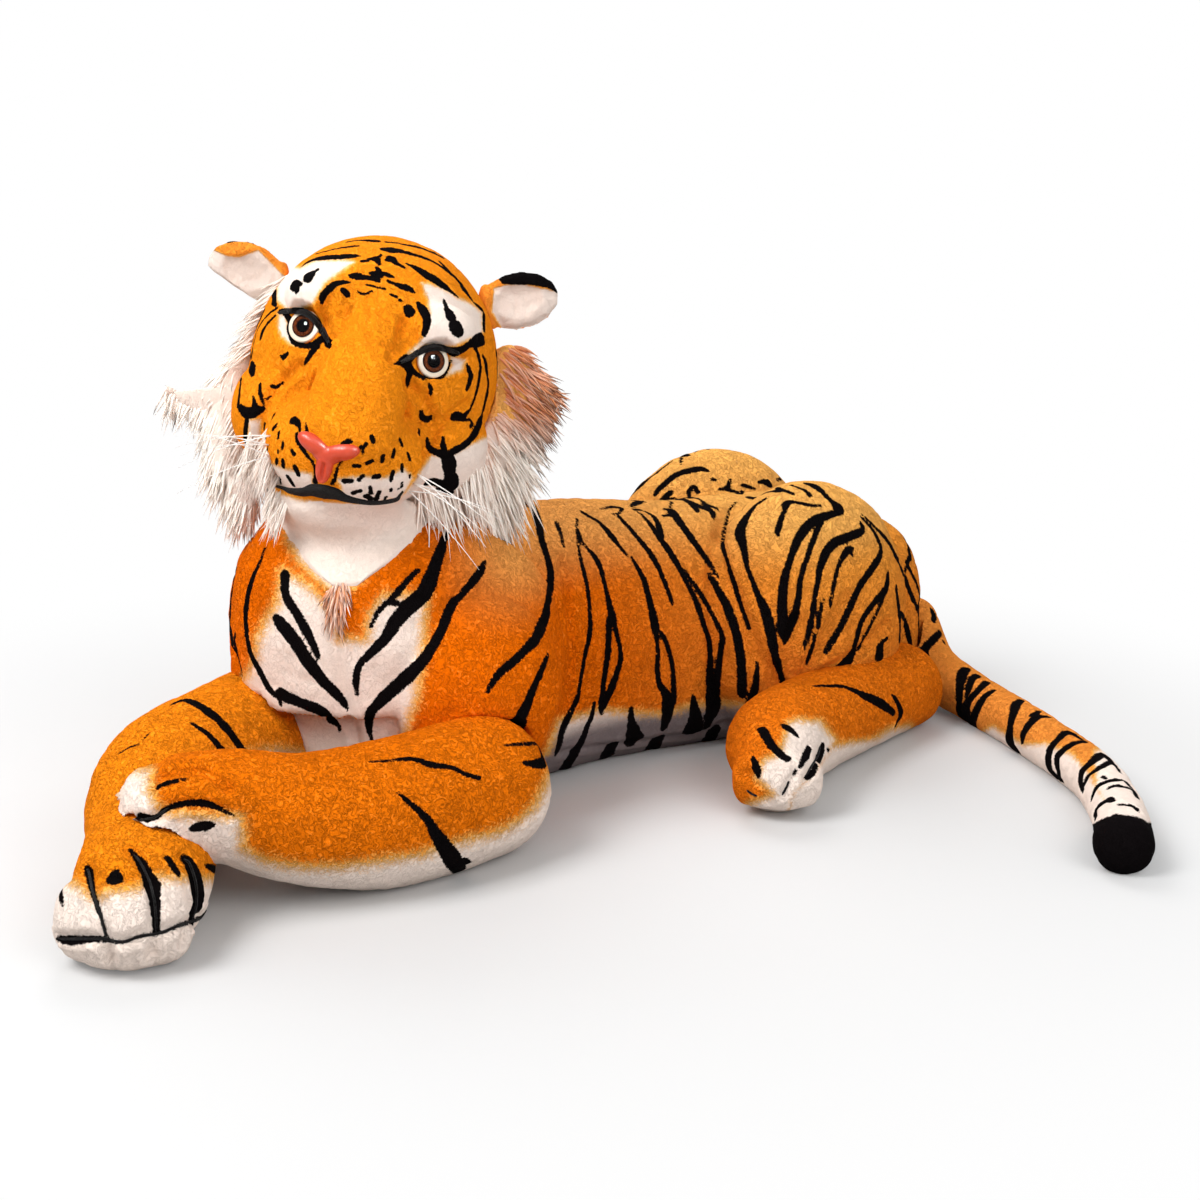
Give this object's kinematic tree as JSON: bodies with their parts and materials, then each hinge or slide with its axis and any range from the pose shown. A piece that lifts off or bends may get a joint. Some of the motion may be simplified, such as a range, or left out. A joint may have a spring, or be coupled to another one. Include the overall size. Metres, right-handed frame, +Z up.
{
  "type": "plush tiger",
  "caption": "Large striped plush tiger lying with crossed forelegs and a turned head, with sewn limbs, ears and tail that bend, for display or cuddling.",
  "frame": {"origin": "middle of the toy's bounding rectangle on the floor plane it rests on", "axes": "+Z up, -Y from the rump towards the head end of the body, +X towards the tiger's own left side"},
  "size_m": [0.9706, 1.1304, 0.5786],
  "materials": {
    "orange_plush": "short plush pile, orange with printed black stripes and white areas",
    "cream_plush": "short plush pile, off-white with printed black stripes",
    "long_pile_fur": "long soft pile, white with peach and dark tips",
    "black_plush": "short plush pile, black",
    "black_stitching": "matte thread",
    "fibre_filling": "loose polyester fibre",
    "nose_vinyl": "soft satin vinyl",
    "eye_cup_plastic": "gloss",
    "eye_iris_plastic": "gloss, brown round a black pupil",
    "eye_lens_plastic": "clear gloss",
    "washer_plastic": "matte, hidden inside",
    "whisker_nylon": "thin white filament"
  },
  "bodies": {
    "torso": {"torso_cover": "orange_plush", "belly_panel": "cream_plush", "torso_filling": "fibre_filling", "closing_stitch": "black_stitching", "throat_tuft": "long_pile_fur", "right_foreleg_cover": "orange_plush", "right_foreleg_filling": "fibre_filling", "right_foreleg_toe_stitches": "black_stitching", "left_hind_leg_cover": "orange_plush", "left_hind_leg_filling": "fibre_filling", "left_hind_leg_toe_stitches": "black_stitching", "right_hind_leg_cover": "orange_plush", "right_hind_leg_filling": "fibre_filling", "right_hind_leg_toe_stitches": "black_stitching"},
    "head": {"head_cover": "orange_plush", "head_filling": "fibre_filling", "left_eye_cup": "eye_cup_plastic", "left_eye_iris": "eye_iris_plastic", "left_eye_lens": "eye_lens_plastic", "left_eye_washer": "washer_plastic", "right_eye_cup": "eye_cup_plastic", "right_eye_iris": "eye_iris_plastic", "right_eye_lens": "eye_lens_plastic", "right_eye_washer": "washer_plastic", "nose": "nose_vinyl", "nose_washer": "washer_plastic", "mouth_strip": "black_plush", "left_whiskers": "whisker_nylon", "right_whiskers": "whisker_nylon", "left_ruff": "long_pile_fur", "right_ruff": "long_pile_fur"},
    "left_ear": {"left_ear_back": "orange_plush", "left_ear_lining": "cream_plush"},
    "right_ear": {"right_ear_back": "orange_plush", "right_ear_lining": "cream_plush"},
    "left_foreleg": {"left_foreleg_cover": "orange_plush", "left_foreleg_filling": "fibre_filling", "left_foreleg_toe_stitches": "black_stitching"},
    "tail_base": {"tail_base_cover": "orange_plush", "tail_base_filling": "fibre_filling"},
    "tail_end": {"tail_end_cover": "cream_plush", "tail_end_filling": "fibre_filling", "tail_tip_cover": "black_plush"}
  },
  "joints": [
    {"name": "head_turn", "type": "hinge", "parent": "torso", "child": "head", "pos_m": [-0.04151, -0.17542, 0.3], "axis": [0, 0, 1], "range_deg": [-12, 12], "stiffness_Nm_per_rad": 3},
    {"name": "left_ear_fold", "type": "hinge", "parent": "head", "child": "left_ear", "pos_m": [-0.02124, -0.05372, 0.50751], "axis": [-0.1682, -0.1454, 0.975], "range_deg": [-20, 20], "stiffness_Nm_per_rad": 0.3},
    {"name": "right_ear_fold", "type": "hinge", "parent": "head", "child": "right_ear", "pos_m": [-0.10509, -0.24937, 0.53196], "axis": [-0.0599, -0.3847, -0.9211], "range_deg": [-20, 20], "stiffness_Nm_per_rad": 0.3},
    {"name": "left_foreleg_lift", "type": "hinge", "parent": "torso", "child": "left_foreleg", "pos_m": [0.15176, -0.13615, 0.0665], "axis": [-0.5821, 0, 0.8131], "range_deg": [0, 22], "stiffness_Nm_per_rad": 1.5},
    {"name": "tail_swing", "type": "hinge", "parent": "torso", "child": "tail_base", "pos_m": [-0.11774, 0.5299, 0.08532], "axis": [0, 0, 1], "range_deg": [0, 25], "stiffness_Nm_per_rad": 0.8},
    {"name": "tail_curl", "type": "hinge", "parent": "tail_base", "child": "tail_end", "pos_m": [0.17871, 0.51989, 0.02326], "axis": [0, 0, 1], "range_deg": [-30, 30], "stiffness_Nm_per_rad": 0.4}
  ]
}
